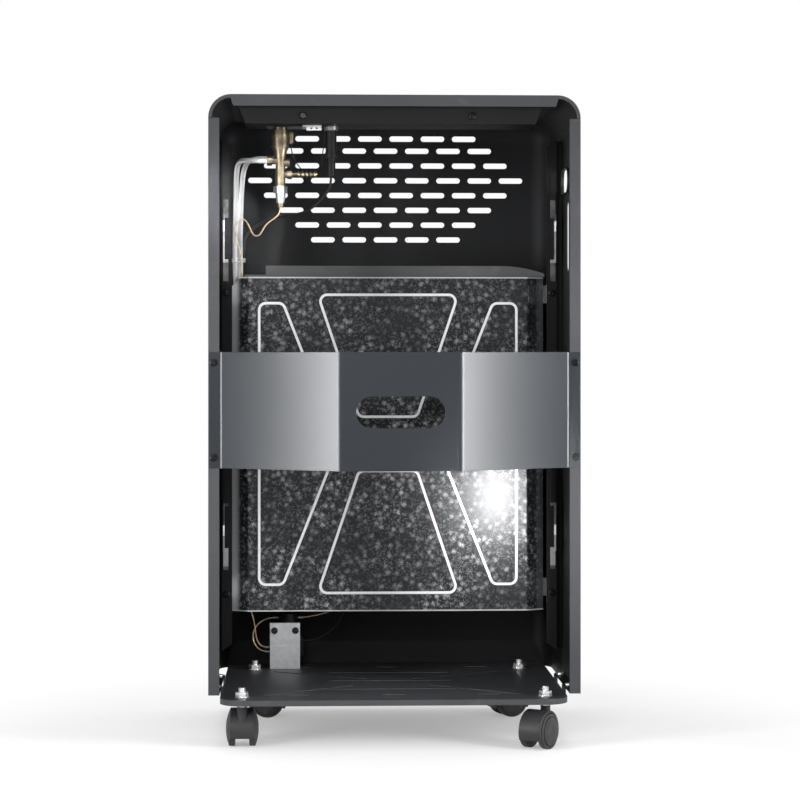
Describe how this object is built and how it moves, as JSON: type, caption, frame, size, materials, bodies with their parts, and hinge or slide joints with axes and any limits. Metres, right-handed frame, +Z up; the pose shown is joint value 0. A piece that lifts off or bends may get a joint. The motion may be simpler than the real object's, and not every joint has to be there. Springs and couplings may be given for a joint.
{
  "type": "portable gas cabinet heater",
  "caption": "Portable gas cabinet heater, open at the rear for its cylinder, with a retaining band, radiant ceramic burner, control knob, igniter and swivel castors.",
  "frame": {"origin": "on the floor, under the middle of the outline", "axes": "+X towards the heater's own left side, -Y the way the burner looks, +Y out of the open rear, +Z up"},
  "size_m": [0.42, 0.414, 0.74],
  "materials": {
    "dark_paint": "fine textured charcoal powder coat, satin",
    "band_steel": "satin gunmetal",
    "galvanised": "spangled zinc coating",
    "zinc": "bright zinc plate",
    "black_screw": "black zinc",
    "ceramic": "matt fired ceramic",
    "white_ceramic": "glazed ceramic",
    "burner_steel": "aluminised steel",
    "reflector_steel": "polished",
    "guard_steel": "bright wire",
    "brass": "cast and turned",
    "tube_metal": "drawn, bright",
    "copper": "drawn copper",
    "black_plastic": "moulded, satin",
    "white_nylon": "nylon",
    "black_sleeve": "flexible sleeve",
    "castor_plastic": "moulded",
    "castor_tread": "hard tread",
    "spring_steel": "wound wire"
  },
  "bodies": {
    "cabinet": {"band_screws": "black_screw", "base_plate": "dark_paint", "base_screws": "zinc", "burner_frame": "burner_steel", "burner_housing": "burner_steel", "burner_pans": "burner_steel", "cable_tie": "white_nylon", "castor_nuts": "zinc", "castor_stems": "zinc", "ceramic_plaque_1": "ceramic", "ceramic_plaque_2": "ceramic", "ceramic_plaque_3": "ceramic", "control_nuts": "zinc", "control_tray": "dark_paint", "earth_wire": "black_sleeve", "front_grille": "guard_steel", "front_shell": "dark_paint", "gas_manifold": "burner_steel", "gas_tube_main": "tube_metal", "gas_tube_pilot": "tube_metal", "heat_shield": "galvanised", "hose_nozzle": "brass", "igniter_body": "black_plastic", "igniter_lead": "black_sleeve", "igniter_spring": "spring_steel", "injectors": "brass", "outlet_nuts": "brass", "panel_hooks": "zinc", "panel_screws": "black_screw", "pilot_bracket": "burner_steel", "pilot_burner": "brass", "probe_lead": "copper", "reflector": "reflector_steel", "retaining_band": "band_steel", "side_panel_left": "dark_paint", "side_panel_right": "dark_paint", "spark_electrode": "white_ceramic", "thermocouple_lead": "copper", "thermocouple_nut": "brass", "thermocouple_probe": "copper", "tilt_bracket": "zinc", "tilt_cable": "black_sleeve", "tilt_loop_wire": "copper", "tilt_switch_body": "black_plastic", "top_cover": "dark_paint", "valve_body": "brass", "valve_bracket": "zinc", "valve_nut": "zinc"},
    "knob_push": {"valve_plunger": "brass"},
    "control_knob": {"valve_spindle": "brass", "control_knob": "black_plastic"},
    "igniter_button": {"igniter_button": "black_plastic"},
    "castor_fork_1": {"castor_fork_1": "castor_plastic"},
    "castor_wheels_1": {"castor_wheels_1": "castor_tread"},
    "castor_fork_2": {"castor_fork_2": "castor_plastic"},
    "castor_wheels_2": {"castor_wheels_2": "castor_tread"},
    "castor_fork_3": {"castor_fork_3": "castor_plastic"},
    "castor_wheels_3": {"castor_wheels_3": "castor_tread"},
    "castor_fork_4": {"castor_fork_4": "castor_plastic"},
    "castor_wheels_4": {"castor_wheels_4": "castor_tread"}
  },
  "joints": [
    {"name": "knob_push", "type": "slide", "parent": "cabinet", "child": "knob_push", "axis": [0, 0, -1], "range_m": [0, 0.004], "stiffness_N_per_m": 1500, "springref_m": -0.004},
    {"name": "knob_turn", "type": "hinge", "parent": "knob_push", "child": "control_knob", "pos_m": [0.1295, 0.081, 0.72], "axis": [0, 0, 1], "range_deg": [0, 210]},
    {"name": "igniter_press", "type": "slide", "parent": "cabinet", "child": "igniter_button", "axis": [0, 0, -1], "range_m": [0, 0.005], "stiffness_N_per_m": 800, "springref_m": -0.004, "deforming": ["igniter_spring"]},
    {"name": "castor_swivel_1", "type": "hinge", "parent": "cabinet", "child": "castor_fork_1", "pos_m": [0.173, 0.097, 0.04], "axis": [0, 0, 1], "continuous": true},
    {"name": "castor_roll_1", "type": "hinge", "parent": "castor_fork_1", "child": "castor_wheels_1", "pos_m": [0.173, 0.081, 0.02], "axis": [-1, 0, 0], "continuous": true},
    {"name": "castor_swivel_2", "type": "hinge", "parent": "cabinet", "child": "castor_fork_2", "pos_m": [-0.173, 0.097, 0.04], "axis": [0, 0, 1], "continuous": true},
    {"name": "castor_roll_2", "type": "hinge", "parent": "castor_fork_2", "child": "castor_wheels_2", "pos_m": [-0.16405, 0.11027, 0.02], "axis": [0.829, -0.5592, 0], "continuous": true},
    {"name": "castor_swivel_3", "type": "hinge", "parent": "cabinet", "child": "castor_fork_3", "pos_m": [0.164, -0.138, 0.04], "axis": [0, 0, 1], "continuous": true},
    {"name": "castor_roll_3", "type": "hinge", "parent": "castor_fork_3", "child": "castor_wheels_3", "pos_m": [0.148, -0.138, 0.02], "axis": [0, 1, 0], "continuous": true},
    {"name": "castor_swivel_4", "type": "hinge", "parent": "cabinet", "child": "castor_fork_4", "pos_m": [-0.164, -0.138, 0.04], "axis": [0, 0, 1], "continuous": true},
    {"name": "castor_roll_4", "type": "hinge", "parent": "castor_fork_4", "child": "castor_wheels_4", "pos_m": [-0.14896, -0.13253, 0.02], "axis": [0.342, -0.9397, 0], "continuous": true}
  ]
}
